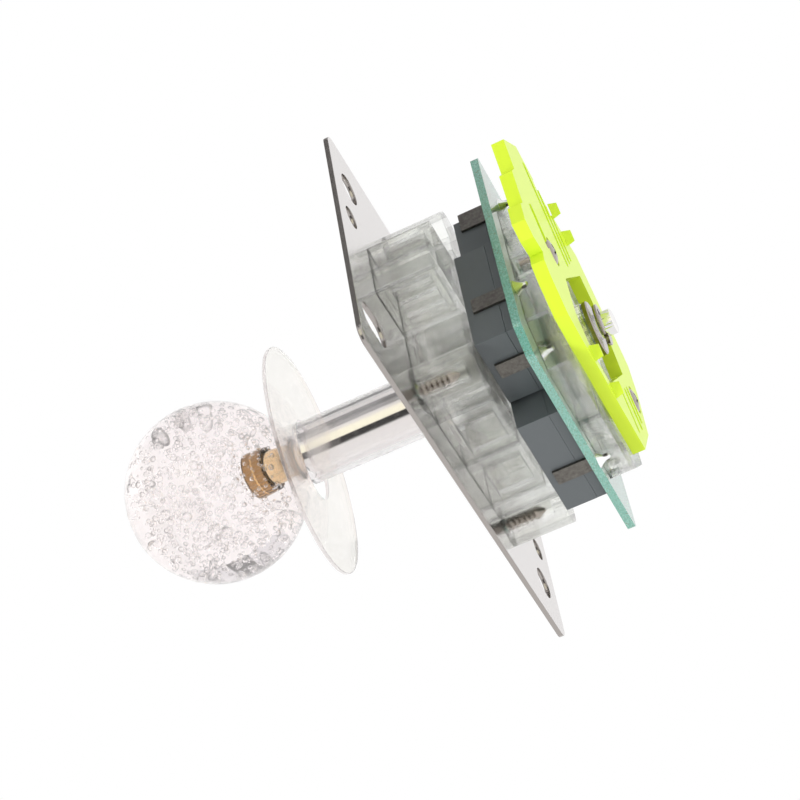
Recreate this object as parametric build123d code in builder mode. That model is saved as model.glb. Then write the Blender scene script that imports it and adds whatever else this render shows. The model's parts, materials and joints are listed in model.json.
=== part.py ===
import os
from math import cos, radians, sin, sqrt

from build123d import *

os.makedirs("parts", exist_ok=True)

# Sizes in millimetres. z = 0 is the plate's face on the ball side, +Z runs to the ball.
clearance = 0.05

# Mounting plate
plate_length = 95.0
plate_width = 60.0
plate_thickness = 1.0
plate_corner_r = 2.8
hole_edge_x = 7.5
hole_edge_y = 10.0
hole_spacing_x = plate_length - 2 * hole_edge_x
hole_spacing_y = plate_width - 2 * hole_edge_y
hole_r = 3.3
slot_length = 10.0
small_hole_r = 2.35
small_hole_x = plate_length / 2 - 5.7
small_hole_y = 9.2
plate_bore_r = 9.5

# Clear base
base_top = -plate_thickness
base_bottom = -13.8
base_half_x = 23.0
base_half_y = 21.6
base_wall = 1.5
base_floor = 1.6
end_block_x = plate_length / 2 - 11.5
end_block_half_y = 6.8
boss_x = 20.8
boss_y = 19.6
boss_r = 4.5
hub_r = 11.0
window_width = 8.0
window_height = 7.6
peg_r = 1.2
peg_length = 3.4
peg_spots = ((11.5, -13.5), (20.5, 3.2))
hook_x = 19.6
hook_y = 9.4
hook_size = 2.4
hook_barb = 0.8
hook_height = 1.5
ledge_height = 1.2
window_x = 6.5
slot_width = 2.2
slot_pitch = 3.6

# Pivot
pivot_z = -7.0
pivot_r = 7.5
pivot_half_height = 5.5

# Lever
shaft_r = 4.3
shaft_low_r = 2.6
shaft_body_top = 29.6
stud_r = 2.95
stud_top = 42.8
shaft_bottom = -36.4
cover_r = 6.4
cover_top = 31.3

# Ball
ball_r = 18.5
ball_z = 50.9
ball_bottom = 33.0
bubble_count = 44
bubble_r = 1.5
insert_r = 4.7
insert_top = 43.5
insert_knurl_bottom = 36.8
insert_collar_r = 4.2

# Dust washer
washer_r = 24.0
washer_bore_r = 8.2
washer_thickness = 0.8
washer_z = 30.8
washer_shift = 1.6
washer_roll = 2.0
washer_tilt = 4.0
view_angle = 42.2

# Switches, given for the one on the +X side
switch_inner = 7.8
switch_outer = 24.5
switch_long_end = -18.3
switch_short_end = 7.0
switch_top = -14.0
switch_seam = -20.4
switch_bottom = -22.5
switch_wall = 1.2
plunger_tip = 6.95
plunger_z = -17.6
plunger_height = 2.2
plunger_width = 3.0
terminal_thickness = 0.6
terminal_width = 3.6
terminal_top = -15.4
terminal_end = -26.3
pin_width = 1.4

# Circuit board
board_top = -22.6
board_bottom = -24.2
board_x0 = -29.0
board_x1 = 28.0
board_y0 = -26.0
board_y1 = 29.0
board_opening = 21.0
header_x = -19.0
header_y = 26.2
header_ways = 5
header_pitch = 2.5
header_length = 14.5
header_width = 4.6
header_height = 6.0
header_wall = 0.7
header_floor = 1.4
header_pin = 0.64

# Gate frame
frame_half = 23.4
frame_cut = 7.4
frame_bottom = -29.7
frame_wall = 1.5
frame_rib = 1.2
frame_boss_r = 3.2
frame_opening = 20.0
gate_screw_x = 22.0

# Gate plate
gate_bottom = -32.3
tab_bottom = -34.0

# Actuator, spring and retaining parts
seat_bottom = -14.3
seat_bore_r = 4.1
seat_r = 6.4
spring_r = 4.2
wire_r = 0.4
spring_turns = 5.5
actuator_top = -15.9
actuator_r = 5.2
actuator_foot_r = 5.6
actuator_bottom = -31.8
actuator_bore_r = 4.65
spring_floor = -27.0
end_washer_bottom = -32.8
ring_z = -33.8
ring_thickness = 0.8


def save(built, name):
    built.part.label = name
    export_step(built.part, f"parts/{name}.step")


def level(height, angle=0.0):
    return Plane.XY.offset(height).rotated((0, 0, angle))


# The plate is the piece that bolts to a control panel
with BuildPart() as mounting_plate:
    with BuildSketch(level(-plate_thickness)):
        RectangleRounded(plate_length, plate_width, plate_corner_r)
        with Locations((hole_spacing_x / 2, hole_spacing_y / 2), (-hole_spacing_x / 2, -hole_spacing_y / 2)):
            Circle(hole_r, mode=Mode.SUBTRACT)
        with Locations((hole_spacing_x / 2, -hole_spacing_y / 2), (-hole_spacing_x / 2, hole_spacing_y / 2)):
            SlotOverall(slot_length, 2 * hole_r, mode=Mode.SUBTRACT)
        with Locations((small_hole_x, small_hole_y), (-small_hole_x, -small_hole_y)):
            Circle(small_hole_r, mode=Mode.SUBTRACT)
        Circle(plate_bore_r, mode=Mode.SUBTRACT)
    extrude(amount=plate_thickness)
    with Locations(*[(x, y, 0) for x in (-boss_x, boss_x) for y in (-boss_y, boss_y)]):
        CounterSinkHole(1.6, 2.8, counter_sink_angle=90)
save(mounting_plate, "mounting_plate")

# Countersunk self-cutting screws from the plate into the base
screw_spots = [(x, y) for x in (-boss_x, boss_x) for y in (-boss_y, boss_y)]
screw_tip = -9.5
with BuildPart() as plate_screws:
    for spot in screw_spots:
        with BuildSketch(Plane.XZ.offset(-spot[1])):
            with BuildLine():
                Polyline((spot[0], -0.05), (spot[0] + 2.7, -0.05), (spot[0] + 1.45, -1.3),
                         (spot[0] + 1.45, screw_tip + 1.5), (spot[0] + 0.4, screw_tip), (spot[0], screw_tip),
                         close=True)
            make_face()
        revolve(axis=Axis((spot[0], spot[1], 0), (0, 0, 1)))
    with Locations(*[(x, y, -0.05) for x, y in screw_spots]):
        Box(2.6, 0.6, 1.2, mode=Mode.SUBTRACT)
        Box(0.6, 2.6, 1.2, mode=Mode.SUBTRACT)
save(plate_screws, "plate_screws")


def base_outline(inset):
    Rectangle(2 * (base_half_x - inset), 2 * (base_half_y - inset))
    Rectangle(2 * (end_block_x - inset), 2 * (end_block_half_y - inset))


# The base is hollow from the plate's side, with a hub for the pivot, four screw bosses, pegs for the switches and
# two hooks that pass through the board and hold the gate frame by its ledges
hook_bottom = board_bottom - ledge_height - clearance - hook_height
with BuildPart() as base:
    with BuildSketch(level(base_bottom)) as outline:
        base_outline(0)
        with Locations(*screw_spots):
            Circle(boss_r)
        fillet(outline.vertices().filter_by(lambda v: abs(v.X) > end_block_x - 1), 1.0)
    extrude(amount=base_top - base_bottom)
    with BuildSketch(level(base_bottom + base_floor)):
        base_outline(base_wall)
        with Locations(*screw_spots):
            Circle(boss_r, mode=Mode.SUBTRACT)
        Circle(hub_r, mode=Mode.SUBTRACT)
        Rectangle(2 * end_block_x, 1.4, mode=Mode.SUBTRACT)
        Rectangle(1.4, 2 * base_half_y, mode=Mode.SUBTRACT)
        with Locations((base_half_x - 0.7, 0), (0.7 - base_half_x, 0)):
            Rectangle(1.4, 2 * end_block_half_y, mode=Mode.SUBTRACT)
        with Locations((13.0, 0), (-13.0, 0)):
            Rectangle(1.2, 2 * base_half_y, mode=Mode.SUBTRACT)
    extrude(amount=base_top - base_bottom, mode=Mode.SUBTRACT)
    with BuildSketch(Plane.XZ):
        with BuildLine():
            Polyline((0, base_top + 1), (9.0, base_top + 1), (9.0, base_top - 2.2),
                     (pivot_r + clearance, base_top - 3.6), (pivot_r + clearance, pivot_z), (0, pivot_z), close=True)
        make_face()
    revolve(axis=Axis.Z, mode=Mode.SUBTRACT)
    with Locations((0, 0, pivot_z)):
        Sphere(pivot_r + clearance, mode=Mode.SUBTRACT)
    with Locations((0, 0, base_bottom)):
        Cylinder(4.9, 6, mode=Mode.SUBTRACT)
    with Locations(*[(x, y, base_top) for x, y in screw_spots]):
        CounterSinkHole(1.45, 2.0, depth=10, counter_sink_angle=90)
    window_z = (base_top + base_bottom) / 2
    with Locations(*[(x, y, window_z) for x in (-window_x, window_x) for y in (-base_half_y, base_half_y)]):
        Box(window_width, 4 * base_wall, window_height, mode=Mode.SUBTRACT)
    slot_middle = (base_half_x + end_block_x) / 2
    with Locations(*[(x, y, window_z) for x in (-slot_middle, slot_middle)
                     for y in (-end_block_half_y, end_block_half_y)]):
        with GridLocations(slot_pitch, 1, 3, 1):
            Box(slot_width, 4 * base_wall, window_height, mode=Mode.SUBTRACT)
    for turn in range(4):
        with BuildSketch(level(base_bottom, 90 * turn)):
            with Locations(*peg_spots):
                Circle(peg_r)
        extrude(amount=-peg_length)
    for turn in (0, 180):
        with BuildSketch(level(base_bottom, turn)):
            with Locations((hook_x, hook_y)):
                Rectangle(hook_size, hook_size)
        extrude(amount=hook_bottom - base_bottom)
        with BuildSketch(level(hook_bottom, turn)):
            with Locations((hook_x + hook_barb / 2, hook_y)):
                Rectangle(hook_size + hook_barb, hook_size)
        extrude(amount=hook_height)
save(base, "base")

# The pivot is a ball cut flat at both ends, turning in the base's hub
with BuildPart() as pivot:
    with Locations((0, 0, pivot_z)):
        Sphere(pivot_r)
        Box(4 * pivot_r, 4 * pivot_r, 2 * pivot_half_height, mode=Mode.INTERSECT)
        Cylinder(shaft_low_r + clearance, 4 * pivot_r, mode=Mode.SUBTRACT)
save(pivot, "pivot")
pivot_top = pivot_z + pivot_half_height

# One turned steel shaft: threaded stud, body, slim lower part with a ring groove and a driver slot
with BuildPart() as shaft:
    groove_r = shaft_low_r - 0.6
    with BuildSketch(Plane.XZ):
        with BuildLine():
            Polyline((0, stud_top), (stud_r - 0.6, stud_top), (stud_r, stud_top - 0.6), (stud_r, shaft_body_top + 1.1),
                     (stud_r - 0.5, shaft_body_top + 0.8), (stud_r - 0.5, shaft_body_top),
                     (shaft_r - 0.4, shaft_body_top), (shaft_r, shaft_body_top - 0.4),
                     (shaft_r, pivot_top), (shaft_low_r, pivot_top),
                     (shaft_low_r, ring_z + ring_thickness / 2), (groove_r, ring_z + ring_thickness / 2),
                     (groove_r, ring_z - ring_thickness / 2), (shaft_low_r, ring_z - ring_thickness / 2),
                     (shaft_low_r, shaft_bottom + 0.5), (shaft_low_r - 0.5, shaft_bottom), (0, shaft_bottom),
                     close=True)
        make_face()
    revolve(axis=Axis.Z)
    with Locations((0, 0, shaft_bottom)):
        Box(0.9, 3 * shaft_low_r, 2.4, mode=Mode.SUBTRACT)
save(shaft, "shaft")

# Clear tube over the shaft, loose on it
with BuildPart() as shaft_cover:
    with BuildSketch(level(pivot_top)):
        Circle(cover_r)
        Circle(shaft_r + 0.1, mode=Mode.SUBTRACT)
    extrude(amount=cover_top - pivot_top)
    chamfer(shaft_cover.edges().filter_by(GeomType.CIRCLE).group_by(Axis.Z)[-1], 0.4)
save(shaft_cover, "shaft_cover")

# Brass insert with a knurled head and a plain collar, moulded into the ball
knurl_teeth = 28
with BuildPart() as thread_insert:
    with BuildSketch(level(ball_bottom)):
        Circle(insert_collar_r)
    extrude(amount=insert_knurl_bottom - ball_bottom)
    with BuildSketch(level(insert_knurl_bottom)):
        Circle(insert_r - 0.25)
        with PolarLocations(insert_r - 0.25, knurl_teeth):
            Rectangle(0.5, 0.5, rotation=45)
    extrude(amount=insert_top - insert_knurl_bottom)
    with BuildSketch(level((insert_knurl_bottom + insert_top) / 2 - 0.4)):
        Circle(insert_r + 0.5)
        Circle(insert_r - 0.25, mode=Mode.SUBTRACT)
    extrude(amount=0.8, mode=Mode.SUBTRACT)
    with Locations((0, 0, ball_bottom)):
        Cylinder(stud_r + clearance, 2 * (stud_top - ball_bottom + 0.3), mode=Mode.SUBTRACT)
save(thread_insert, "thread_insert")

# The larger bubbles of the cast ball, spread evenly by the golden angle at four depths, with few faces each
def bubble(number):
    lift = 1 - (2 * number + 1) / bubble_count
    turn = 137.5 * number
    depth = ball_r * (0.62 + 0.22 * (number % 4) / 3)
    size = bubble_r * (0.65 + 0.35 * (number % 3) / 2)
    spread = depth * sqrt(1 - lift * lift)
    spot = (spread * cos(radians(turn)), spread * sin(radians(turn)), ball_z + depth * lift)
    with BuildPart() as built:
        with BuildSketch(Plane(origin=spot, x_dir=(cos(radians(turn)), sin(radians(turn)), 0), z_dir=(0, 0, 1))):
            RegularPolygon(size, 6)
        extrude(amount=0.8 * size, both=True, taper=35)
    return built.part


with BuildPart() as ball_top:
    with Locations((0, 0, ball_z)):
        Sphere(ball_r)
    with BuildSketch(level(ball_bottom)):
        Rectangle(3 * ball_r, 3 * ball_r)
    extrude(amount=-ball_r, mode=Mode.SUBTRACT)
    with BuildSketch(level(ball_bottom)):
        Circle(insert_collar_r)
    extrude(amount=insert_knurl_bottom - ball_bottom, mode=Mode.SUBTRACT)
    with BuildSketch(level(insert_knurl_bottom)):
        Circle(insert_r + 0.15)
    extrude(amount=insert_top - insert_knurl_bottom, mode=Mode.SUBTRACT)
    add([bubble(number) for number in range(bubble_count)], mode=Mode.SUBTRACT)
save(ball_top, "ball_top")

# Thin clear disc, hanging loose and askew under the ball
view_x = cos(radians(view_angle))
view_y = sin(radians(view_angle))
washer_plane = Plane(origin=(-washer_shift * view_x, -washer_shift * view_y, washer_z),
                     x_dir=(view_x, view_y, 0), z_dir=(0, 0, 1)).rotated((washer_roll, -washer_tilt, 0))
with BuildPart() as dust_washer:
    with BuildSketch(washer_plane):
        Circle(washer_r)
        Circle(washer_bore_r, mode=Mode.SUBTRACT)
    extrude(amount=washer_thickness / 2, both=True)
save(dust_washer, "dust_washer")

# Thin steel washer that the spring's upper end presses against the base
with BuildPart() as spring_seat:
    with BuildSketch(level(seat_bottom)):
        Circle(seat_r)
        Circle(seat_bore_r, mode=Mode.SUBTRACT)
    extrude(amount=base_bottom - seat_bottom)
save(spring_seat, "spring_seat")

# Compression spring inside the actuator, drawn at its fitted length
spring_top = seat_bottom - wire_r
spring_bottom = spring_floor + wire_r
spring_height = spring_top - spring_bottom
with BuildPart() as spring:
    with BuildLine():
        coil = Helix(pitch=spring_height / spring_turns, height=spring_height, radius=spring_r,
                     center=(0, 0, spring_bottom))
    with BuildSketch(Plane(origin=coil @ 0, z_dir=coil % 0)):
        RegularPolygon(wire_r, 6)
    sweep(path=coil, is_frenet=True)
save(spring, "spring")

# The actuator slides on the shaft's lower part, and pushes the switches
with BuildPart() as actuator:
    with BuildSketch(Plane.XZ):
        with BuildLine():
            Polyline((shaft_low_r + clearance, actuator_bottom), (actuator_foot_r - 0.4, actuator_bottom),
                     (actuator_foot_r, actuator_bottom + 0.4), (actuator_foot_r, -25.2), (actuator_r, -24.2),
                     (actuator_r, actuator_top), (actuator_bore_r, actuator_top), (actuator_bore_r, spring_floor),
                     (shaft_low_r + clearance, spring_floor), close=True)
        make_face()
    revolve(axis=Axis.Z)
save(actuator, "actuator")

with BuildPart() as end_washer:
    with BuildSketch(level(end_washer_bottom)):
        Circle(actuator_foot_r)
        Circle(shaft_low_r + clearance, mode=Mode.SUBTRACT)
    extrude(amount=actuator_bottom - end_washer_bottom)
    chamfer(end_washer.edges().filter_by(GeomType.CIRCLE).group_by(Axis.Z)[0].sort_by(SortBy.RADIUS)[-1], 0.25)
save(end_washer, "end_washer")

with BuildPart() as e_ring:
    with BuildSketch(level(ring_z - ring_thickness / 2)):
        Circle(4.3)
        Circle(groove_r, mode=Mode.SUBTRACT)
        with PolarLocations(groove_r + 0.4, 3, start_angle=-90):
            Rectangle(2.0, 1.6, mode=Mode.SUBTRACT)
        with Locations((0, -4)):
            Rectangle(2.6, 5, mode=Mode.SUBTRACT)
        with PolarLocations(groove_r + 0.28, 3, start_angle=-30):
            Rectangle(0.5, 1.0)
    extrude(amount=ring_thickness)
save(e_ring, "e_ring")

# Terminal strips, each with a blade outside the housing, a tongue into its wall and a pin through the board
side_spot = -8.6
end_spot = 16.6
pins = []


def strip_sizes(width, along_x):
    blade = (width, terminal_thickness)
    pin = (pin_width, terminal_thickness)
    tongue = (0.6 * width, 1.6)
    return [size if along_x else size[::-1] for size in (blade, pin, tongue)]


def switch_strips(letter):
    half = terminal_thickness / 2
    end_x, end_width = (23.4, 5.0) if letter == "d" else (end_spot, terminal_width)
    return [(switch_outer + half, side_spot, terminal_width, False, (-0.8, 0)),
            (end_x, switch_long_end - half, end_width, True, (-0.6, 0.8) if letter == "d" else (0, 0.8))]


for number, letter in enumerate("abcd"):
    angle = -90 * number
    strips = switch_strips(letter)
    turned = Rot(0, 0, angle)
    length = switch_short_end - switch_long_end
    depth = switch_outer - switch_inner
    middle = ((switch_inner + switch_outer) / 2, (switch_long_end + switch_short_end) / 2)
    cavity = (depth - 2 * switch_wall, length - 2 * switch_wall)

    with BuildPart() as terminals:
        for x, y, width, along_x, tab in strips:
            blade, pin, tongue = strip_sizes(width, along_x)
            with BuildSketch(level(switch_bottom, angle)):
                with Locations((x, y)):
                    Rectangle(*blade)
            extrude(amount=terminal_top - switch_bottom)
            with BuildSketch(level(terminal_end, angle)):
                with Locations((x, y)):
                    Rectangle(*pin)
            extrude(amount=switch_bottom - terminal_end)
            with BuildSketch(level(terminal_top - 1.2, angle)):
                with Locations((x + tab[0], y + tab[1])):
                    Rectangle(*tongue)
            extrude(amount=0.6)
            pins.append((turned * Pos(x, y, 0)).position)
    save(terminals, f"switch_{letter}_terminals")

    with BuildPart() as case:
        with BuildSketch(level(switch_seam, angle)):
            with Locations(middle):
                Rectangle(depth, length)
        extrude(amount=switch_top - switch_seam)
        with BuildSketch(level(switch_seam, angle)):
            with Locations(middle):
                Rectangle(*cavity)
        extrude(amount=switch_top - switch_wall - switch_seam, mode=Mode.SUBTRACT)
        with BuildSketch(level(plunger_z - plunger_height / 2 - clearance, angle)):
            with Locations((switch_inner, 0)):
                Rectangle(4 * switch_wall, plunger_width + 2 * clearance)
        extrude(amount=plunger_height + 2 * clearance, mode=Mode.SUBTRACT)
        with BuildSketch(level(switch_top, angle)):
            with Locations(*peg_spots):
                Circle(peg_r + clearance)
        extrude(amount=-peg_length, mode=Mode.SUBTRACT)
        add(terminals.part, mode=Mode.SUBTRACT)
    save(case, f"switch_{letter}_case")

    with BuildPart() as cover:
        with BuildSketch(level(switch_bottom, angle)):
            with Locations(middle):
                Rectangle(depth, length)
        extrude(amount=switch_seam - switch_bottom)
        with BuildSketch(level(switch_seam, angle)):
            with Locations(middle):
                Rectangle(cavity[0] - 2 * clearance, cavity[1] - 2 * clearance)
                Rectangle(cavity[0] - 2, cavity[1] - 2, mode=Mode.SUBTRACT)
        extrude(amount=0.8)
    save(cover, f"switch_{letter}_cover")

    with BuildPart() as plunger:
        with BuildSketch(level(plunger_z - plunger_height / 2, angle)):
            with Locations(((plunger_tip + 12.0) / 2, 0)):
                Rectangle(12.0 - plunger_tip, plunger_width)
            with Locations((switch_inner + switch_wall + 0.9, 0)):
                Rectangle(1.6, plunger_width + 2.4)
        extrude(amount=plunger_height)
    save(plunger, f"switch_{letter}_plunger")

# Circuit board under the switches, with a corner cut off and a slot for each terminal
with BuildPart() as circuit_board:
    with BuildSketch(level(board_bottom)) as board_sketch:
        with Locations(((board_x0 + board_x1) / 2, (board_y0 + board_y1) / 2)):
            Rectangle(board_x1 - board_x0, board_y1 - board_y0)
        chamfer(board_sketch.vertices().sort_by(lambda v: v.X - v.Y)[-1], 4.5)
        fillet(board_sketch.vertices(), 1.2)
        RectangleRounded(board_opening, board_opening, 3, mode=Mode.SUBTRACT)
        for side in (-1, 1):
            with Locations((side * (hook_x + hook_barb / 2), side * hook_y)):
                Rectangle(hook_size + hook_barb + 0.2, hook_size + 0.2, mode=Mode.SUBTRACT)
        for pin in pins:
            with Locations((pin.X, pin.Y)):
                Circle(0.85, mode=Mode.SUBTRACT)
        with Locations((header_x, header_y)):
            with GridLocations(header_pitch, 1, header_ways, 1):
                Circle(0.5, mode=Mode.SUBTRACT)
    extrude(amount=board_top - board_bottom)
save(circuit_board, "circuit_board")

# A solder cone around each terminal pin
with BuildPart() as solder_joints:
    for pin in pins:
        with Locations((pin.X, pin.Y, board_bottom)):
            Cone(0.5, 1.45, 2.0, align=(Align.CENTER, Align.CENTER, Align.MAX))
    for number, letter in enumerate("abcd"):
        for x, y, width, along_x, tab in switch_strips(letter):
            with BuildSketch(level(terminal_end, -90 * number)):
                with Locations((x, y)):
                    Rectangle(*strip_sizes(width, along_x)[1])
            extrude(amount=6, mode=Mode.SUBTRACT)
save(solder_joints, "solder_joints")


def octagon(half, cut):
    near = half - cut
    return [(half, near), (near, half), (-near, half), (-half, near),
            (-half, -near), (-near, -half), (near, -half), (half, -near)]


# Clear frame under the board: outer wall, opening wall, web and ribs
with BuildPart() as gate_frame:
    with BuildSketch(level(frame_bottom)):
        with BuildLine():
            Polyline(*octagon(frame_half, frame_cut), close=True)
        make_face()
        RectangleRounded(frame_opening, frame_opening, 2, mode=Mode.SUBTRACT)
    extrude(amount=board_bottom - frame_bottom)
    with BuildSketch(level(frame_bottom + 1.2)):
        with BuildLine():
            Polyline(*octagon(frame_half - frame_wall, frame_cut - 0.58 * frame_wall), close=True)
        make_face()
        RectangleRounded(frame_opening + 2 * frame_wall, frame_opening + 2 * frame_wall, 3, mode=Mode.SUBTRACT)
        with Locations((gate_screw_x - 0.4, 0), (0.4 - gate_screw_x, 0)):
            Circle(frame_boss_r, mode=Mode.SUBTRACT)
        for turn in (0, 45, 90, 135):
            Rectangle(4 * frame_half, frame_rib, rotation=turn, mode=Mode.SUBTRACT)
    extrude(amount=board_bottom - frame_bottom, mode=Mode.SUBTRACT)
    ledge_x0 = hook_x + hook_size / 2 + 2 * clearance
    for turn in (0, 180):
        with BuildSketch(level(board_bottom, turn)):
            with Locations(((ledge_x0 + frame_half) / 2, hook_y)):
                Rectangle(frame_half - ledge_x0, hook_size + 1.6)
        extrude(amount=-ledge_height)
    with Locations((gate_screw_x, 0, frame_bottom), (-gate_screw_x, 0, frame_bottom)):
        Cylinder(1.35, 9, mode=Mode.SUBTRACT)
    add(solder_joints.part, mode=Mode.SUBTRACT)
save(gate_frame, "gate_frame")

# Bright gate plate: stepped tongue, skewed opening, shallow channels, two fins on its far edge and two by the opening
gate_points = [(-16, -19.8), (0, -20.6), (10, -20.6), (18, -21.3), (25, -21), (31, -17), (33, -14.2), (32.2, -11),
               (37, -12), (40.5, -10.8), (40.4, -6), (38.3, -3.4), (39.9, 4.4), (37.2, 8.2), (39.5, 14.8),
               (28.9, 25.3), (20, 24.4), (15, 22.6), (4, 24.6), (-3.5, 26.4), (-12.4, 22), (-24, 17.2),
               (-27.3, 15.3), (-28, 7), (-25.6, -7.1)]
opening_points = [(10.8, 13), (10.8, -13), (4, -20.5), (-4, -20.5), (-10.6, -14), (-10.6, 13), (-3, 15), (5, 15)]
channel_depth = 1.1
channels = [(21.5, 8.5, 15, 2.4), (22.5, 4.2, 18, 2.4), (24, -0.6, 22, 2.4), (21.5, -18.5, 9, 3.2), (-17, 9.5, 8, 2.4),
            (-17.5, 5.2, 9, 2.4), (-17.5, -1.2, 9, 2.0)]
fins = [(24.8, 10.6), (18.9, 14.6), (-4.0, -21.6), (-12.0, -14.6)]
with BuildPart() as gate_plate:
    with BuildSketch(level(gate_bottom)):
        with BuildLine():
            Polyline(*gate_points, close=True)
        make_face()
    extrude(amount=frame_bottom - gate_bottom)
    with BuildSketch(level(gate_bottom, view_angle)):
        with BuildLine():
            Polyline(*opening_points, close=True)
        make_face()
    extrude(amount=frame_bottom - gate_bottom, mode=Mode.SUBTRACT)
    with BuildSketch(level(gate_bottom, view_angle)):
        for x, y, length, width in channels:
            with Locations((x, y)):
                RectangleRounded(length, width, 0.8)
    extrude(amount=channel_depth, mode=Mode.SUBTRACT)
    for x, y in fins:
        with BuildSketch(level(gate_bottom, view_angle)):
            with Locations((x, y)):
                Rectangle(3.2, 1.4)
        extrude(amount=tab_bottom - gate_bottom, taper=14)
    with Locations((gate_screw_x, 0, gate_bottom), (-gate_screw_x, 0, gate_bottom)):
        CounterBoreHole(1.5, 3.0, 1.0, depth=6)
save(gate_plate, "gate_plate")

# Pan-head screws that hold the gate plate to the frame
screw_seat = gate_bottom + 1.0
with BuildPart() as gate_screws:
    for x in (-gate_screw_x, gate_screw_x):
        with BuildSketch(level(screw_seat, 0)):
            with Locations((x, 0)):
                Circle(2.75)
        extrude(amount=-1.5)
        with BuildSketch(level(screw_seat)):
            with Locations((x, 0)):
                Circle(1.35)
        extrude(amount=5.6)
    chamfer(gate_screws.edges().filter_by(GeomType.CIRCLE).group_by(Axis.Z)[0], 0.5)
    with Locations((-gate_screw_x, 0, screw_seat - 1.5), (gate_screw_x, 0, screw_seat - 1.5)):
        Box(3.0, 0.7, 1.8, mode=Mode.SUBTRACT)
        Box(0.7, 3.0, 1.8, mode=Mode.SUBTRACT)
save(gate_screws, "gate_screws")

# Five-way header on the board, where the wiring plugs in
with BuildPart() as connector:
    with BuildSketch(level(board_bottom)):
        with Locations((header_x, header_y)):
            Rectangle(header_length, header_width)
    extrude(amount=-header_height)
    with BuildSketch(level(board_bottom - header_floor)):
        with Locations((header_x, header_y)):
            Rectangle(header_length - 2 * header_wall, header_width - 2 * header_wall)
    extrude(amount=-header_height, mode=Mode.SUBTRACT)
    with Locations((header_x, header_y, board_bottom)):
        with GridLocations(header_pitch, 1, header_ways, 1):
            Box(header_pin, header_pin, 2 * header_height, mode=Mode.SUBTRACT)
save(connector, "connector")

with BuildPart() as connector_pins:
    with Locations((header_x, header_y, board_bottom - 0.9)):
        with GridLocations(header_pitch, 1, header_ways, 1):
            Box(header_pin, header_pin, header_height + 2.0)
save(connector_pins, "connector_pins")
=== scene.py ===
import json
import math
import random
from itertools import product

import bmesh
import bpy
from mathutils import Matrix, Vector


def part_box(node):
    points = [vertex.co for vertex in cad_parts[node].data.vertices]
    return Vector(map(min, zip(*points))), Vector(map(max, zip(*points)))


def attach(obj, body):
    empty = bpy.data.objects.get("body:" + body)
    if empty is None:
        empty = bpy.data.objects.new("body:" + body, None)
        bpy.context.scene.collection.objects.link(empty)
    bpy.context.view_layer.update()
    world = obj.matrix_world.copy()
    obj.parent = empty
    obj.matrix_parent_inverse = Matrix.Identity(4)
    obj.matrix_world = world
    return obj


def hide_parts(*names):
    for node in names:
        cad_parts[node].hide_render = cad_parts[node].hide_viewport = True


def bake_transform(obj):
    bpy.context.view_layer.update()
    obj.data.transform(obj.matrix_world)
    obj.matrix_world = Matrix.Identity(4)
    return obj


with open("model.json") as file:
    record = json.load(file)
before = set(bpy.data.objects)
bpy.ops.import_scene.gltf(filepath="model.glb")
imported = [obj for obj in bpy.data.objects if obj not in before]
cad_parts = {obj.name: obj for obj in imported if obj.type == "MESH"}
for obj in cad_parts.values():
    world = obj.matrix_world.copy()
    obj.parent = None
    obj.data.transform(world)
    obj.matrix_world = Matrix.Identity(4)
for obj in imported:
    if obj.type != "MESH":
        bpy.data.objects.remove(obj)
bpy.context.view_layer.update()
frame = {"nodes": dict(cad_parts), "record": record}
nodes = frame["nodes"]
mm = 0.001
print("frame loaded with", len(nodes), "nodes")


# Meshes and materials

def toObject(bm, name, material, smooth=False, sharpAngle=35):
    bmesh.ops.recalc_face_normals(bm, faces=bm.faces)
    if smooth:
        for face in bm.faces:
            face.smooth = True
        for edge in bm.edges:
            if len(edge.link_faces) == 2 and edge.calc_face_angle(0) > math.radians(sharpAngle):
                edge.smooth = False
    mesh = bpy.data.meshes.new(name)
    bm.to_mesh(mesh)
    bm.free()
    piece = bpy.data.objects.new(name, mesh)
    bpy.context.scene.collection.objects.link(piece)
    mesh.materials.append(material)
    return piece


def dress(piece, body, node, slot):
    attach(piece, body)
    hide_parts(node)
    return piece


def joinInto(target, part):
    # Moves the second mesh's content into the first
    mesh = bpy.data.meshes.new("part")
    part.to_mesh(mesh)
    part.free()
    target.from_mesh(mesh)
    bpy.data.meshes.remove(mesh)


def spinProfile(points, steps, centre=(0, 0), closed=True):
    # Turns a profile of (radius, z) in mm round the lever's axis
    bm = bmesh.new()
    verts = [bm.verts.new((r * mm, 0, z * mm)) for r, z in points]
    pairs = list(zip(verts, verts[1:] + verts[:1] if closed else verts[1:]))
    edges = [bm.edges.new(pair) for pair in pairs if pair[0] is not pair[1]]
    bmesh.ops.spin(bm, geom=verts + edges, cent=(0, 0, 0), axis=(0, 0, 1), angle=math.tau, steps=steps,
                   use_merge=True)
    bmesh.ops.remove_doubles(bm, verts=bm.verts, dist=1e-6)
    bmesh.ops.dissolve_degenerate(bm, edges=bm.edges, dist=1e-7)
    bmesh.ops.translate(bm, verts=bm.verts, vec=(centre[0] * mm, centre[1] * mm, 0))
    return bm


def evenNormals(piece):
    # Keeps large flat faces flat beside their soft edges
    weigh = piece.modifiers.new("evenNormals", "WEIGHTED_NORMAL")
    weigh.keep_sharp = True
    weigh.weight = 80
    return piece


softEdge = {"segments": 2, "sharper": 30, "flatter": 1}


def isSharp(edge):
    return len(edge.link_faces) == 2 and edge.calc_face_angle(0) > math.radians(softEdge["sharper"])


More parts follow.
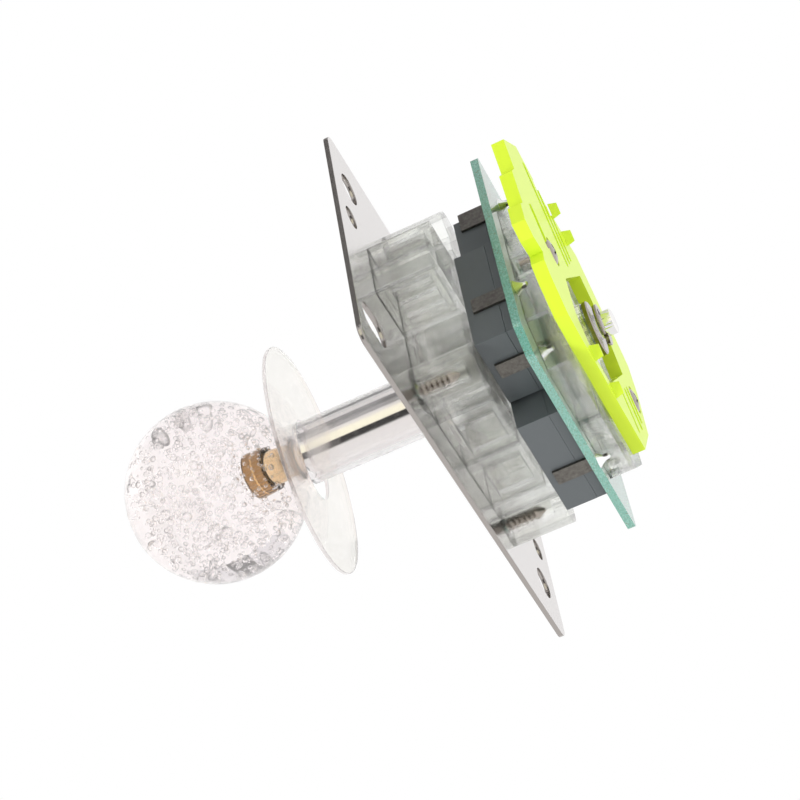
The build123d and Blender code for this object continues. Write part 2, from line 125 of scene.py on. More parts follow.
def refined(node, width, edgeShadeSlot=-1):
    # A merged copy of a CAD node whose soft edges catch the light, in the material slot that is given. That
    # slot holds a painted shade line for the edges of clear parts.
    bm = bmesh.new()
    bm.from_mesh(nodes[node].data)
    bmesh.ops.remove_doubles(bm, verts=bm.verts, dist=1e-6)
    flatter = math.radians(softEdge["flatter"])
    bmesh.ops.dissolve_limit(bm, angle_limit=flatter, verts=bm.verts, edges=bm.edges)
    if width:
        sharp = [edge for edge in bm.edges if isSharp(edge)]
        bmesh.ops.bevel(bm, geom=sharp, offset=width * mm, offset_type="OFFSET",
                        segments=softEdge["segments"], affect="EDGES", profile=0.5, material=edgeShadeSlot,
                        clamp_overlap=True)
    return bm


def newMaterial(name, colour, roughness=0.5, metallic=0.0):
    material = bpy.data.materials.new(name)
    material.use_nodes = True
    material.diffuse_color = (*colour, 1)
    setShader(material, {"Base Color": (*colour, 1), "Roughness": roughness, "Metallic": metallic})
    return material


def setShader(material, values):
    shader = material.node_tree.nodes["Principled BSDF"]
    for socket, value in values.items():
        shader.inputs[socket].default_value = value


def addNoise(material, scale, detail=4.0):
    # Noise on Object coordinates, whose unit is the metre
    tree = material.node_tree
    coords = tree.nodes.new("ShaderNodeTexCoord")
    noise = tree.nodes.new("ShaderNodeTexNoise")
    noise.inputs["Scale"].default_value = scale
    noise.inputs["Detail"].default_value = detail
    tree.links.new(coords.outputs["Object"], noise.inputs["Vector"])
    return noise.outputs["Fac"]


def rampTo(material, factor, stops, socket):
    # Colours or greys picked by the factor, into one socket of the shader
    tree = material.node_tree
    ramp = tree.nodes.new("ShaderNodeValToRGB")
    while len(ramp.color_ramp.elements) < len(stops):
        ramp.color_ramp.elements.new(0.5)
    for element, (place, colour) in zip(ramp.color_ramp.elements, stops):
        element.position = place
        element.color = (*colour, 1) if isinstance(colour, tuple) else (colour, colour, colour, 1)
    tree.links.new(factor, ramp.inputs["Fac"])
    tree.links.new(ramp.outputs["Color"], tree.nodes["Principled BSDF"].inputs[socket])


def facing(material):
    # 0 on faces square to the lever's axis, 1 on faces along it
    tree = material.node_tree
    coords = tree.nodes.new("ShaderNodeTexCoord")
    split = tree.nodes.new("ShaderNodeSeparateXYZ")
    size = tree.nodes.new("ShaderNodeMath")
    size.operation = "ABSOLUTE"
    turn = tree.nodes.new("ShaderNodeMath")
    turn.operation = "SUBTRACT"
    turn.inputs[0].default_value = 1.0
    tree.links.new(coords.outputs["Normal"], split.inputs["Vector"])
    tree.links.new(split.outputs["Z"], size.inputs[0])
    tree.links.new(size.outputs[0], turn.inputs[1])
    return turn.outputs[0]


def mixFactor(material, first, second, share):
    # The first factor plus a share of the second
    tree = material.node_tree
    blend = tree.nodes.new("ShaderNodeMath")
    blend.operation = "MULTIPLY_ADD"
    tree.links.new(second, blend.inputs[0])
    blend.inputs[1].default_value = share
    tree.links.new(first, blend.inputs[2])
    return blend.outputs[0]


def bumpFrom(material, factor, strength, distance):
    tree = material.node_tree
    bump = tree.nodes.new("ShaderNodeBump")
    bump.inputs["Strength"].default_value = strength
    bump.inputs["Distance"].default_value = distance * mm
    tree.links.new(factor, bump.inputs["Height"])
    tree.links.new(bump.outputs["Normal"], tree.nodes["Principled BSDF"].inputs["Normal"])


def clearPlastic(name, colour, roughness, ior, grain=0, depth=0, alpha=1.0):
    material = newMaterial(name, colour, roughness)
    setShader(material, {"Transmission Weight": 1.0, "IOR": ior, "Alpha": alpha})
    if grain:
        bumpFrom(material, addNoise(material, grain, 2.0), 0.3, depth)
    return material


# Finishes
ballAcrylic = clearPlastic("ballAcrylic", (0.96, 0.90, 0.895), 0.0, 1.49, 60, 0.002)
bubbleAir = newMaterial("bubbleAir", (1.0, 0.99, 0.99), 0.0)
setShader(bubbleAir, {"Transmission Weight": 1.0, "IOR": 0.72, "Alpha": 0.5})
washerPlastic = clearPlastic("washerPlastic", (0.99, 0.95, 0.87), 0.02, 1.25, 90, 0.004, 0.6)
# Painted shade: a darker tone for the washer's rim and bore faces, a painted edge line.
washerEdgeShade = clearPlastic("washerEdgeShade", (0.84, 0.76, 0.74), 0.08, 1.3, 400, 0.01)
tubePlastic = clearPlastic("tubePlastic", (0.995, 0.97, 0.965), 0.01, 1.45, 80, 0.004, 0.85)
# Painted shade: a dark tone for the tube's end faces, a painted line at each end.
tubeEndShade = clearPlastic("tubeEndShade", (0.34, 0.37, 0.31), 0.1, 1.4, 300, 0.01)
basePlastic = clearPlastic("basePlastic", (0.96, 0.97, 0.93), 0.0, 1.49, alpha=0.5)
# Painted shade: a dark tone for the bevel faces of the clear base, a painted edge line.
baseEdgeShade = clearPlastic("baseEdgeShade", (0.16, 0.18, 0.15), 0.1, 1.4, alpha=0.75)
framePlastic = clearPlastic("framePlastic", (0.90, 0.97, 0.66), 0.0, 1.49, alpha=0.6)
# Painted shade: a dark green tone for the bevel faces of the clear gate frame, a painted edge line.
frameEdgeShade = clearPlastic("frameEdgeShade", (0.16, 0.24, 0.06), 0.1, 1.4, alpha=0.75)
actuatorPlastic = clearPlastic("actuatorPlastic", (0.90, 0.93, 0.72), 0.02, 1.48, alpha=0.8)

knurledBrass = newMaterial("knurledBrass", (0.90, 0.71, 0.42), 0.2, 1.0)
rampTo(knurledBrass, addNoise(knurledBrass, 900), [(0.35, 0.08), (0.7, 0.2)], "Roughness")

# Painted shade: this darker brass goes on one flank of each knurl tooth, as shade in the grooves.
knurlShadeBrass = newMaterial("knurlShadeBrass", (0.60, 0.44, 0.26), 0.3, 1.0)

polishedSteel = newMaterial("polishedSteel", (0.80, 0.79, 0.78), 0.05, 1.0)
rampTo(polishedSteel, addNoise(polishedSteel, 1400, 6), [(0.45, 0.03), (0.72, 0.16)], "Roughness")

zincPlate = newMaterial("zincPlate", (0.72, 0.69, 0.68), 0.2, 1.0)
grain = addNoise(zincPlate, 900, 4)
# Painted shade: the facing term makes the plate's bevel slopes and side faces darker; the grain adds a faint
# random tone.
zincGrainAndEdgeShade = [(0.0, (0.72, 0.69, 0.68)), (0.5, (0.68, 0.65, 0.64)), (0.85, (0.22, 0.20, 0.19)),
             (1.0, (0.42, 0.39, 0.37))]
rampTo(zincPlate, mixFactor(zincPlate, facing(zincPlate), grain, 0.25), zincGrainAndEdgeShade, "Base Color")
rampTo(zincPlate, addNoise(zincPlate, 350, 5), [(0.3, 0.19), (0.75, 0.21)], "Roughness")

switchGrey = newMaterial("switchGrey", (0.085, 0.095, 0.10), 0.42)
bumpFrom(switchGrey, addNoise(switchGrey, 2600, 3), 0.35, 0.02)
switchCoverGrey = newMaterial("switchCoverGrey", (0.08, 0.09, 0.095), 0.45)
bumpFrom(switchCoverGrey, addNoise(switchCoverGrey, 2300, 3), 0.35, 0.02)

nickel = newMaterial("nickel", (0.16, 0.15, 0.13), 0.38, 1.0)
nickelTones = [(0.3, (0.12, 0.11, 0.10)), (0.75, (0.20, 0.19, 0.17))]
rampTo(nickel, addNoise(nickel, 1500, 4), nickelTones, "Base Color")

neonPlastic = newMaterial("neonPlastic", (0.60, 0.77, 0.04), 0.3)
setShader(neonPlastic, {"Specular IOR Level": 0.2, "Emission Color": (0.75, 1.0, 0.0, 1),
                        "Emission Strength": 0.03})

boardGreen = newMaterial("boardGreen", (0.16, 0.45, 0.34), 0.3)
setShader(boardGreen, {"Coat Weight": 1.0, "Coat Roughness": 0.06, "Coat IOR": 1.8})
boardTones = [(0.33, (0.20, 0.12, 0.06)), (0.38, (0.07, 0.25, 0.19)), (0.52, (0.12, 0.33, 0.26)),
              (0.70, (0.27, 0.44, 0.38))]
rampTo(boardGreen, addNoise(boardGreen, 4200, 7), boardTones, "Base Color")

screwSteel = newMaterial("screwSteel", (0.34, 0.30, 0.27), 0.16, 1.0)
wireSteel = newMaterial("wireSteel", (0.55, 0.55, 0.55), 0.3, 1.0)
shinySolder = newMaterial("shinySolder", (0.85, 0.85, 0.86), 0.2, 0.75)
headerIvory = newMaterial("headerIvory", (0.80, 0.78, 0.70), 0.45)
tinnedPin = newMaterial("tinnedPin", (0.72, 0.71, 0.68), 0.25, 1.0)
plungerRed = newMaterial("plungerRed", (0.50, 0.06, 0.05), 0.35)
pivotWhite = newMaterial("pivotWhite", (0.84, 0.84, 0.82), 0.35)
print("finishes ready")

slotFinish = {"ball_acrylic": ballAcrylic, "brass": knurledBrass, "clear_tube": tubePlastic,
              "polished_steel": polishedSteel, "pivot_plastic": pivotWhite, "zinc_plate": zincPlate,
              "screw_steel": screwSteel, "spring_steel": wireSteel, "clear_base": basePlastic,
              "clear_actuator": actuatorPlastic, "neon_acrylic": neonPlastic, "board_green": boardGreen,
              "solder": shinySolder, "header_plastic": headerIvory, "pin_brass": tinnedPin,
              "switch_grey": switchGrey, "switch_cover_grey": switchCoverGrey, "plunger_red": plungerRed,
              "nickel": nickel}
nodeSlot = {part["node"]: part["material_slot"] for part in frame["record"]["subparts"]}


# Camera, in the place that fits the photograph
camera = {"place": (0.2765, -0.3046, -0.0758), "right": (-0.4203, -0.1291, -0.8982),
          "up": (0.6288, 0.6722, -0.3909), "back": (0.6542, -0.7290, -0.2013), "lens": 95.67}


def makeCamera():
    data = bpy.data.cameras.new("camera")
    data.lens = camera["lens"]
    data.sensor_width = 36
    data.clip_start = 0.01
    data.clip_end = 20
    holder = bpy.data.objects.new("camera", data)
    bpy.context.scene.collection.objects.link(holder)
    turn = Matrix((camera["right"], camera["up"], camera["back"])).transposed().to_4x4()
    holder.matrix_world = Matrix.Translation(camera["place"]) @ turn
    bpy.context.scene.camera = holder


# Soft studio: white surroundings, soft lights, and dark cards that give steel and clear parts their edges
studio = {"floorZ": -0.42, "floorSize": 6.0, "world": (1.0, 1.0, 1.0), "worldStrength": 1.0, "distance": 1.1,
          "cardSteps": 8}
softLights = [
    {"name": "keyLight", "place": (0.5, -0.9, 0.9), "size": 0.8, "power": 10},
    {"name": "fillLight", "place": (-0.5, -0.3, 1.0), "size": 0.9, "power": 5},
]

# Cards stand round the object at these headings, in degrees, and only reflections and clear pieces see them
cards = [
    {"name": "cameraCard", "from": -72, "to": -38, "low": 0.08, "high": 0.44, "tone": (0.03, 0.03, 0.03)},
    {"name": "creamCard", "from": -38, "to": 2, "low": 0.02, "high": 0.5, "tone": (1.0, 0.98, 0.8)},
    {"name": "sideCard", "from": 20, "to": 96, "low": 0.12, "high": 0.36, "tone": (0.16, 0.16, 0.16)},
    {"name": "sideUpperCard", "from": 20, "to": 96, "low": 0.36, "high": 0.9, "tone": (0.62, 0.62, 0.64)},
    {"name": "sideLowerCard", "from": 20, "to": 96, "low": -0.36, "high": 0.12, "tone": (0.62, 0.62, 0.64)},
]


def makeStudio():
    world = bpy.data.worlds.new("studioWhite")
    world.use_nodes = True
    background = world.node_tree.nodes["Background"]
    background.inputs["Color"].default_value = (*studio["world"], 1)
    background.inputs["Strength"].default_value = studio["worldStrength"]
    bpy.context.scene.world = world
    bpy.context.scene.view_settings.view_transform = "Standard"
    bm = bmesh.new()
    bmesh.ops.create_grid(bm, x_segments=1, y_segments=1, size=studio["floorSize"] / 2)
    bmesh.ops.translate(bm, verts=bm.verts, vec=(0, 0, studio["floorZ"]))
    toObject(bm, "floor", newMaterial("floorPaper", (0.92, 0.92, 0.92), 0.8))
    for item in cards:
        bm = bmesh.new()
        start = math.radians(item["from"])
        side = (studio["distance"] * math.cos(start), studio["distance"] * math.sin(start))
        ends = [bm.verts.new((*side, item["low"])), bm.verts.new((*side, item["high"]))]
        bmesh.ops.spin(bm, geom=ends + [bm.edges.new(ends)], cent=(0, 0, 0), axis=(0, 0, 1),
                       angle=math.radians(item["to"] - item["from"]), steps=studio["cardSteps"])
        card = toObject(bm, item["name"], newMaterial(item["name"] + "Paper", item["tone"], 0.9))
        card.visible_camera = False
        card.visible_shadow = False
    for item in softLights:
        data = bpy.data.lights.new(item["name"], "AREA")
        data.size = item["size"]
        data.energy = item["power"]
        lamp = bpy.data.objects.new(item["name"], data)
        bpy.context.scene.collection.objects.link(lamp)
        lamp.visible_glossy = False
        lamp.visible_transmission = False
        lamp.location = item["place"]
        lamp.rotation_euler = (-Vector(item["place"])).to_track_quat("-Z", "Y").to_euler()


makeCamera()
makeStudio()
print("camera and studio ready")


# Pieces on the lever's axis
ball = {"radius": 18.5, "centreZ": 50.9, "flatZ": 33.0, "collarR": 2.75, "knurlR": 3.45, "knurlZ": 41.6,
        "topZ": 45.0, "rings": 96, "inside": 0.02, "holeGap": 0.03}
disc = {"radius": 23.9, "bore": 8.25, "half": 0.38, "edge": 0.12, "heading": 42.2, "roll": 2, "tilt": 4,
        "drop": 0.6, "flatFrom": 0.9}
tube = {"outer": 6.38, "inner": 5.3, "bottomZ": -1.45, "topZ": 31.25, "edge": 0.3, "rim": 0.05}


def makeBall():
    # Round from the flat at its foot to its top, with a stepped hole for the insert
    radius = ball["radius"] - ball["inside"]
    centre = ball["centreZ"]
    flat = ball["flatZ"] + ball["inside"]
    hole = ball["collarR"] + ball["holeGap"]
    low = math.asin((flat - centre) / radius)
    turns = [low + (math.pi / 2 - low) * step / ball["rings"] for step in range(ball["rings"])]
    arc = [(radius * math.cos(turn), centre + radius * math.sin(turn)) for turn in turns]
    arc.append((0, centre + radius))
    cavity = [(0, ball["topZ"]), (ball["knurlR"], ball["topZ"]), (ball["knurlR"], ball["knurlZ"]),
              (hole, ball["knurlZ"]), (hole, flat)]
    bm = spinProfile(arc + cavity, 144, closed=False)
    return dress(toObject(bm, "clearBall", ballAcrylic, True), "lever", "ball_top", "ball_acrylic")


def makeTube():
    # Clear tube whose end faces are painted darker, a painted shade line at each end
    inner, outer, edge = tube["inner"], tube["outer"], tube["edge"]
    bottom, top = tube["bottomZ"], tube["topZ"]
    profile = [(inner, bottom), (outer - edge, bottom), (outer, bottom + edge), (outer, top - edge),
               (outer - edge, top), (inner + edge, top), (inner, top - edge)]
    piece = toObject(spinProfile(profile, 96), "shaftTube", tubePlastic, True)
    piece.data.materials.append(tubeEndShade)
    for face in piece.data.polygons:
        if not (bottom + tube["rim"]) * mm <= face.center.z <= (top - tube["rim"]) * mm:
            face.material_index = 1
    return dress(piece, "shaft_cover", "shaft_cover", "clear_tube")


bubbles = {"seed": 7, "count": 1500, "tries": 20000, "small": 0.17, "large": 0.62, "fewLarge": 1.4,
           "reach": 16.6, "bareCap": 10.5, "insertTop": -4.5, "insertGap": 4.6, "gap": 0.05, "cell": 1.7,
           "batch": 50}
castBubbles = {"count": 44, "radius": 0.54, "smallest": 0.65, "sizes": 3, "turn": 137.5, "inner": 0.62,
               "outer": 0.84, "layers": 4}


def castPlaces():
    # The larger bubbles sit where the solid ball has its own, and are about a third as wide
    c = castBubbles
    for number in range(c["count"]):
        lift = 1 - (2 * number + 1) / c["count"]
        turn = math.radians(c["turn"] * number)
        layer = number % c["layers"] / (c["layers"] - 1)
        depth = ball["radius"] * (c["inner"] + (c["outer"] - c["inner"]) * layer)
        grade = number % c["sizes"] / (c["sizes"] - 1)
        size = c["radius"] * (c["smallest"] + (1 - c["smallest"]) * grade)
        spread = depth * math.sqrt(1 - lift * lift)
        yield Vector((spread * math.cos(turn), spread * math.sin(turn), depth * lift)), size


def cellOf(spot):
    return tuple(int(part // bubbles["cell"]) for part in spot)


def nearBubbles(cells, spot):
    home = cellOf(spot)
    for offset in product((-1, 0, 1), repeat=3):
        yield from cells.get(tuple(a + b for a, b in zip(home, offset)), ())


def isFree(cells, spot, size):
    # Inside the ball, under its bare cap, clear of the insert and of every bubble near it
    b = bubbles
    if spot.length > b["reach"] - size or spot.z > b["bareCap"]:
        return False
    if spot.z < b["insertTop"] and math.hypot(spot.x, spot.y) < b["insertGap"] + size:
        return False
    near = nearBubbles(cells, spot)
    return all((spot - other).length >= size + radius + b["gap"] for other, radius in near)


def makeBubbles():
    # Air bubbles cast into the ball. The many random ones stay out of its clear top cap.
    pick = random.Random(bubbles["seed"])
    sizes = bubbles["large"] - bubbles["small"]
    cells = {}
    placed = []
    for spot, size in castPlaces():
        cells.setdefault(cellOf(spot), []).append((spot, size))
        placed.append((spot, size, 3))
    wanted = len(placed) + bubbles["count"]
    for attempt in range(bubbles["tries"]):
        if len(placed) == wanted:
            break
        size = bubbles["small"] + sizes * pick.random() ** bubbles["fewLarge"]
        spot = Vector([pick.uniform(-1, 1) for axis in range(3)]) * bubbles["reach"]
        if isFree(cells, spot, size):
            cells.setdefault(cellOf(spot), []).append((spot, size))
            placed.append((spot, size, 2))
    # Adding to a mesh gets slower as it grows, so the rounds are made in batches that are then joined
    bm = bmesh.new()
    for start in range(0, len(placed), bubbles["batch"]):
        batch = bmesh.new()
        for spot, size, rounds in placed[start:start + bubbles["batch"]]:
            place = Matrix.Translation((spot + Vector((0, 0, ball["centreZ"]))) * mm)
            bmesh.ops.create_icosphere(batch, subdivisions=rounds, radius=size * mm, matrix=place)
        joinInto(bm, batch)
    piece = toObject(bm, "ballBubbles", bubbleAir, True, 80)
    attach(piece, "lever")


insert = {"rootR": 2.9, "crestR": 3.38, "collarR": 2.7, "teeth": 26, "gapZ": (43.2, 43.5), "gapDepth": 0.25,
          "shadeFlankShare": -0.2, "topGap": 0.05, "footGap": 0.01}


def makeInsert():
    # Knurled barrel in two bands with a groove between, and a plain collar under it
    bm = bmesh.new()
    low, high = insert["gapZ"]
    for bottom, top in ((ball["knurlZ"], low), (high, ball["topZ"] - insert["topGap"])):
        ring = bmesh.ops.create_circle(bm, cap_ends=True, segments=insert["teeth"] * 2,
                                       radius=insert["crestR"] * mm)
        outline = sorted(ring["verts"], key=lambda v: math.atan2(v.co.y, v.co.x))
        for vert in outline[::2]:
            vert.co *= insert["rootR"] / insert["crestR"]
        bmesh.ops.translate(bm, verts=outline, vec=(0, 0, bottom * mm))
        face = outline[0].link_faces[0]
        grown = bmesh.ops.extrude_face_region(bm, geom=[face])["geom"]
        lifted = [v for v in grown if isinstance(v, bmesh.types.BMVert)]
        bmesh.ops.translate(bm, verts=lifted, vec=(0, 0, (top - bottom) * mm))
    groove = (insert["rootR"] - insert["gapDepth"], low, high)
    collar = (insert["collarR"], ball["flatZ"] + ball["inside"], ball["knurlZ"] - insert["footGap"])
    for radius, bottom, top in (groove, collar):
        bmesh.ops.create_cone(bm, cap_ends=True, segments=64, radius1=radius * mm, radius2=radius * mm,
                              depth=(top - bottom) * mm,
                              matrix=Matrix.Translation((0, 0, (top + bottom) / 2 * mm)))
    piece = toObject(bm, "brassInsert", knurledBrass, True)
    # One flank of every tooth is painted darker, as painted shade in the knurl's grooves.
    piece.data.materials.append(knurlShadeBrass)
    for face in piece.data.polygons:
        turn = face.center.x * face.normal.y - face.center.y * face.normal.x
        if turn < insert["shadeFlankShare"] * insert["rootR"] * mm:
            face.material_index = 1
    return dress(piece, "lever", "thread_insert", "brass")


steel = {"body": 4.28, "bodyTop": 30.9, "threadR": 2.95, "rootR": 2.45, "pitch": 1.0, "collarTop": 33.0,
         "low": 2.58, "shoulderZ": -1.5, "endZ": -36.38, "endR": 2.1, "endEdge": 0.28, "grooveR": 2.0,
         "grooveZ": (-34.2, -33.4), "footEdge": (0.33, 0.4), "topEdge": (0.48, 0.5)}


def makeShaft():
    # Polished body with a shoulder, the thread that runs up into the ball, and the slim end with its groove
    s = steel
    body, low, foot, top = s["body"], s["low"], s["shoulderZ"], s["bodyTop"]
    grooveLow, grooveHigh = s["grooveZ"]
    footIn, footUp = s["footEdge"]
    topIn, topDown = s["topEdge"]
    points = [(0, s["endZ"]), (s["endR"], s["endZ"]), (low, s["endZ"] + s["endEdge"]), (low, grooveLow),
              (s["grooveR"], grooveLow), (s["grooveR"], grooveHigh), (low, grooveHigh), (low, foot),
              (body - footIn, foot), (body, foot + footUp), (body, top - topDown), (body - topIn, top)]
    z = top
    while z < s["collarTop"] - s["pitch"]:
        points += [(s["rootR"], z), (s["threadR"], z + s["pitch"] * 0.5)]
        z += s["pitch"]
    points += [(s["rootR"], s["collarTop"]), (0, s["collarTop"])]
    bm = spinProfile(points, 96, closed=False)
    return dress(toObject(bm, "steelShaft", polishedSteel, True, 25), "lever", "shaft", "polished_steel")


def makeWasher():
    # Thin disc, tilted and shifted as it hangs
    half, edge = disc["half"], disc["edge"]
    profile = [(disc["bore"], -half + edge), (disc["bore"] + edge, -half), (disc["radius"] - edge, -half),
               (disc["radius"], -half + edge), (disc["radius"], half - edge), (disc["radius"] - edge, half),
               (disc["bore"] + edge, half), (disc["bore"], half - edge)]
    bm = spinProfile(profile, 160)
    bm.normal_update()
    low, high = (Vector(corner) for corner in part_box("dust_washer"))
    turn = Matrix.Identity(4)
    for angle, axis in (("heading", "Z"), ("roll", "X"), ("tilt", "Y")):
        turn = turn @ Matrix.Rotation(math.radians(disc[angle]), 4, axis)
    # The rim and bore faces take the painted shade finish, a darker edge line.
    for face in bm.faces:
        face.material_index = int(abs(face.normal.z) < disc["flatFrom"])
    hang = Matrix.Translation((low + high) / 2 - Vector((0, 0, disc["drop"] * mm)))
    bmesh.ops.transform(bm, verts=bm.verts, matrix=hang @ turn)
    piece = toObject(bm, "dustDisc", washerPlastic, True)
    piece.data.materials.append(washerEdgeShade)
    return dress(piece, "dust_washer", "dust_washer", "clear_tube")


makeBall()
makeBubbles()
makeInsert()
makeShaft()
makeTube()
makeWasher()
print("lever pieces ready")


# Screws and solder
cross = {"depth": 1.1, "arm": 0.34, "turn": 20}
plateScrew = {"headR": 2.6, "coreR": 1.05, "crestR": 1.43, "pitch": 1.05, "tip": -9.45, "seat": -0.06,
              "boss": (20.8, 19.6), "cross": 1.3, "neck": (0.25, 1.25), "threadFrom": 1.6, "threadTo": 1.5,
              "crest": (0.42, 0.5), "point": (0.3, 1.2)}
gateScrew = {"headR": 2.72, "headHeight": 1.48, "dome": 0.62, "seat": -31.32, "stemR": 1.32,
             "stemTop": -25.75, "x": 22.0, "cross": 1.45}
solder = {"baseR": 1.62, "tipR": 0.5, "height": 2.5, "capShare": 0.16, "hollow": 1.9, "steps": 10,
          "boardZ": -24.2, "footStep": 0.01}


def crossRecess(x, y, z, reach):
    # A cross of two arms, to cut into a screw's head
    cutter = bmesh.new()
    for turn in (0, 90):
        place = Matrix.Translation((x * mm, y * mm, z * mm))
        spin = Matrix.Rotation(math.radians(turn + cross["turn"]), 4, "Z")
        shape = Matrix.Diagonal((2 * reach * mm, cross["arm"] * reach * mm, 2 * cross["depth"] * mm, 1))
        bmesh.ops.create_cube(cutter, size=1.0, matrix=place @ spin @ shape)
    return cutter


def subtract(piece, cutter):
    # Cuts the closed mesh out of the piece, and applies the cut
    tool = toObject(cutter, "cutter", piece.data.materials[0])
    cut = piece.modifiers.new("cut", "BOOLEAN")
    cut.operation = "DIFFERENCE"
    cut.solver = "EXACT"
    cut.use_self = True
    cut.object = tool
    bpy.context.view_layer.update()
    mesh = bpy.data.meshes.new_from_object(piece.evaluated_get(bpy.context.evaluated_depsgraph_get()))
    piece.modifiers.clear()
    piece.data = mesh
    bpy.data.objects.remove(tool)


def makePlateScrews():
    # Flat heads flush with the plate, and self-cutting threads that show inside the clear bosses
    s = plateScrew
    neckOut, neckDown = s["neck"]
    crestFrom, crestTo = (share * s["pitch"] for share in s["crest"])
    pointR, pointUp = s["point"]
    profile = [(0, s["seat"]), (s["headR"], s["seat"]), (s["coreR"] + neckOut, s["seat"] - neckDown)]
    z = s["seat"] - s["threadFrom"]
    while z > s["tip"] + s["threadTo"]:
        profile += [(s["coreR"], z), (s["crestR"], z - crestFrom), (s["crestR"], z - crestTo)]
        z -= s["pitch"]
    profile += [(s["coreR"], s["tip"] + pointUp), (pointR, s["tip"]), (0, s["tip"])]
    bm = bmesh.new()
    cutter = bmesh.new()
    for x in (-1, 1):
        for y in (-1, 1):
            spot = (x * s["boss"][0], y * s["boss"][1])
            joinInto(bm, spinProfile(profile, 32, spot, closed=False))
            joinInto(cutter, crossRecess(*spot, s["seat"], s["cross"]))
    piece = dress(toObject(bm, "plateScrewSet", screwSteel, True), "housing", "plate_screws", "screw_steel")
    subtract(piece, cutter)


def makeGateScrews():
    # Domed heads with a cross recess, seated in the gate plate's counterbores
    s = gateScrew
    low = s["seat"] - s["headHeight"]
    turns = [math.radians(angle) for angle in range(0, 91, 10)]
    rise = s["headHeight"] * s["dome"]
    dome = [(s["headR"] * math.sin(turn), low + rise * (1 - math.cos(turn))) for turn in turns]
    stem = [(s["stemR"], s["seat"]), (s["stemR"], s["stemTop"]), (0, s["stemTop"])]
    profile = dome + [(s["headR"], s["seat"])] + stem
    bm = bmesh.new()
    cutter = bmesh.new()
    for x in (-s["x"], s["x"]):
        joinInto(bm, spinProfile(profile, 40, (x, 0), closed=False))
        joinInto(cutter, crossRecess(x, 0, low, s["cross"]))
    piece = dress(toObject(bm, "gateScrewPair", screwSteel, True), "housing", "gate_screws",
                  nodeSlot["gate_screws"])
    subtract(piece, cutter)


def lumpCentres(node):
    # The middle of each lump that a CAD node is made of
    lumps = bmesh.new()
    lumps.from_mesh(nodes[node].data)
    bmesh.ops.remove_doubles(lumps, verts=lumps.verts, dist=1e-6)
    todo = set(lumps.verts)
    while todo:
        group = [todo.pop()]
        for vert in group:
            for edge in vert.link_edges:
                other = edge.other_vert(vert)
                if other in todo:
                    todo.remove(other)
                    group.append(other)
        xs = [vert.co.x / mm for vert in group]
        ys = [vert.co.y / mm for vert in group]
        yield (min(xs) + max(xs)) / 2, (min(ys) + max(ys)) / 2
    lumps.free()


def makeSolder():
    # Fillets that climb each pin in a hollow curve and end in a rounded peak
    s = solder
    neck = s["boardZ"] - (1 - s["capShare"]) * s["height"]
    spread = s["baseR"] - s["tipR"]
    shares = [step / s["steps"] for step in range(s["steps"] + 1)]
    curve = [(s["tipR"] + spread * (1 - share) ** s["hollow"], s["boardZ"] + (neck - s["boardZ"]) * share)
             for share in shares]
    turns = [math.radians(angle) for angle in (30, 60, 90)]
    rise = s["capShare"] * s["height"]
    cap = [(s["tipR"] * math.cos(turn), neck - rise * math.sin(turn)) for turn in turns]
    profile = [(0, s["boardZ"] - s["footStep"])] + curve + cap
    bm = bmesh.new()
    for centre in lumpCentres("solder_joints"):
        joinInto(bm, spinProfile(profile, 28, centre, closed=False))
    piece = toObject(bm, "solderPeaks", shinySolder, True, 60)
    dress(piece, "housing", "solder_joints", nodeSlot["solder_joints"])


makePlateScrews()
makeGateScrews()
makeSolder()
print("screws and solder ready")


# The spring is swept as two parts: its last part of a turn, and the body below it. A
# piece blends across one joint only
coil = {"radius": 4.2, "wireR": 0.4, "turns": 5.5, "around": 12, "steps": 180, "bendMiddle": 0.95,
        "bendEnd": 0.905}


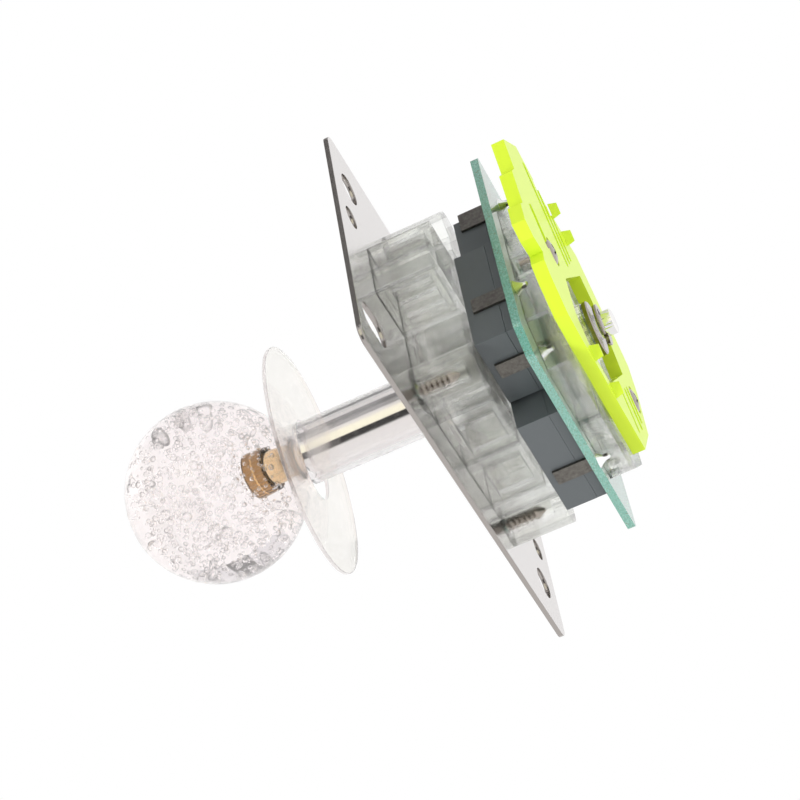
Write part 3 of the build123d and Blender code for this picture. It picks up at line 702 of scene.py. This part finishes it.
def makeSpringPart(name, first, last, bendEnd):
    # Shares of the coil's height say where the part starts and ends. The bendEnd share is not used.
    low, high = (corner.z / mm for corner in map(Vector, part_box("spring")))
    bottom, top = low + coil["wireR"], high - coil["wireR"]
    bm = bmesh.new()
    sweep = math.tau * coil["turns"]
    rings = []
    for step in range(coil["steps"] + 1):
        share = first + (last - first) * step / coil["steps"]
        turn = sweep * share
        out = Vector((math.cos(turn), math.sin(turn), 0))
        along = Vector((-math.sin(turn) * sweep * coil["radius"], math.cos(turn) * sweep * coil["radius"],
                        top - bottom)).normalized()
        side = along.cross(out)
        middle = out * coil["radius"] + Vector((0, 0, bottom + (top - bottom) * share))
        ring = []
        for corner in range(coil["around"]):
            angle = math.tau * corner / coil["around"]
            spoke = out * math.cos(angle) + side * math.sin(angle)
            ring.append(bm.verts.new((middle + spoke * coil["wireR"]) * mm))
        rings.append(ring)
    for one, two in zip(rings, rings[1:]):
        for corner in range(coil["around"]):
            after = (corner + 1) % coil["around"]
            bm.faces.new((one[corner], one[after], two[after], two[corner]))
    bm.faces.new(rings[0])
    bm.faces.new(rings[-1])
    piece = toObject(bm, name, wireSteel, True, 60)
    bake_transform(piece)
    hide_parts("spring")


makeSpringPart("springTop", coil["bendMiddle"], 1.0, coil["bendMiddle"])
makeSpringPart("springBody", 0.0, coil["bendMiddle"], coil["bendEnd"])
print("spring ready")


# CAD pieces that only need soft edges and their finish
softEdged = {"mounting_plate": 0.12, "base": 0.2, "gate_frame": 0.18, "gate_plate": 0.25,
             "circuit_board": 0.08, "connector": 0.15, "end_washer": 0.0, "e_ring": 0.06}
# The clear base and gate frame get painted shade on their bevel faces, as dark edge lines.
edgeShadeTone = {"base": baseEdgeShade, "gate_frame": frameEdgeShade}
for letter in "abcd":
    softEdged[f"switch_{letter}_case"] = 0.18
    softEdged[f"switch_{letter}_cover"] = 0.12
    softEdged[f"switch_{letter}_terminals"] = 0.06
    softEdged[f"switch_{letter}_plunger"] = 0.1

bodyOf = {node: body for body, group in frame["record"]["behaviour"]["bodies"].items() for node in group}
for node, width in softEdged.items():
    slot = nodeSlot[node]
    edgeShadeFinish = edgeShadeTone.get(node)
    bm = refined(node, width, 1 if edgeShadeFinish else -1)
    piece = toObject(bm, node + "_soft", slotFinish[slot], True)
    if edgeShadeFinish:
        piece.data.materials.append(edgeShadeFinish)
    dress(evenNormals(piece), bodyOf[node], node, slot)
for node, cadPiece in nodes.items():
    cadPiece.data.materials.clear()
    cadPiece.data.materials.append(slotFinish[nodeSlot[node]])
print("rigid pieces ready")


print("scene ready to finish")
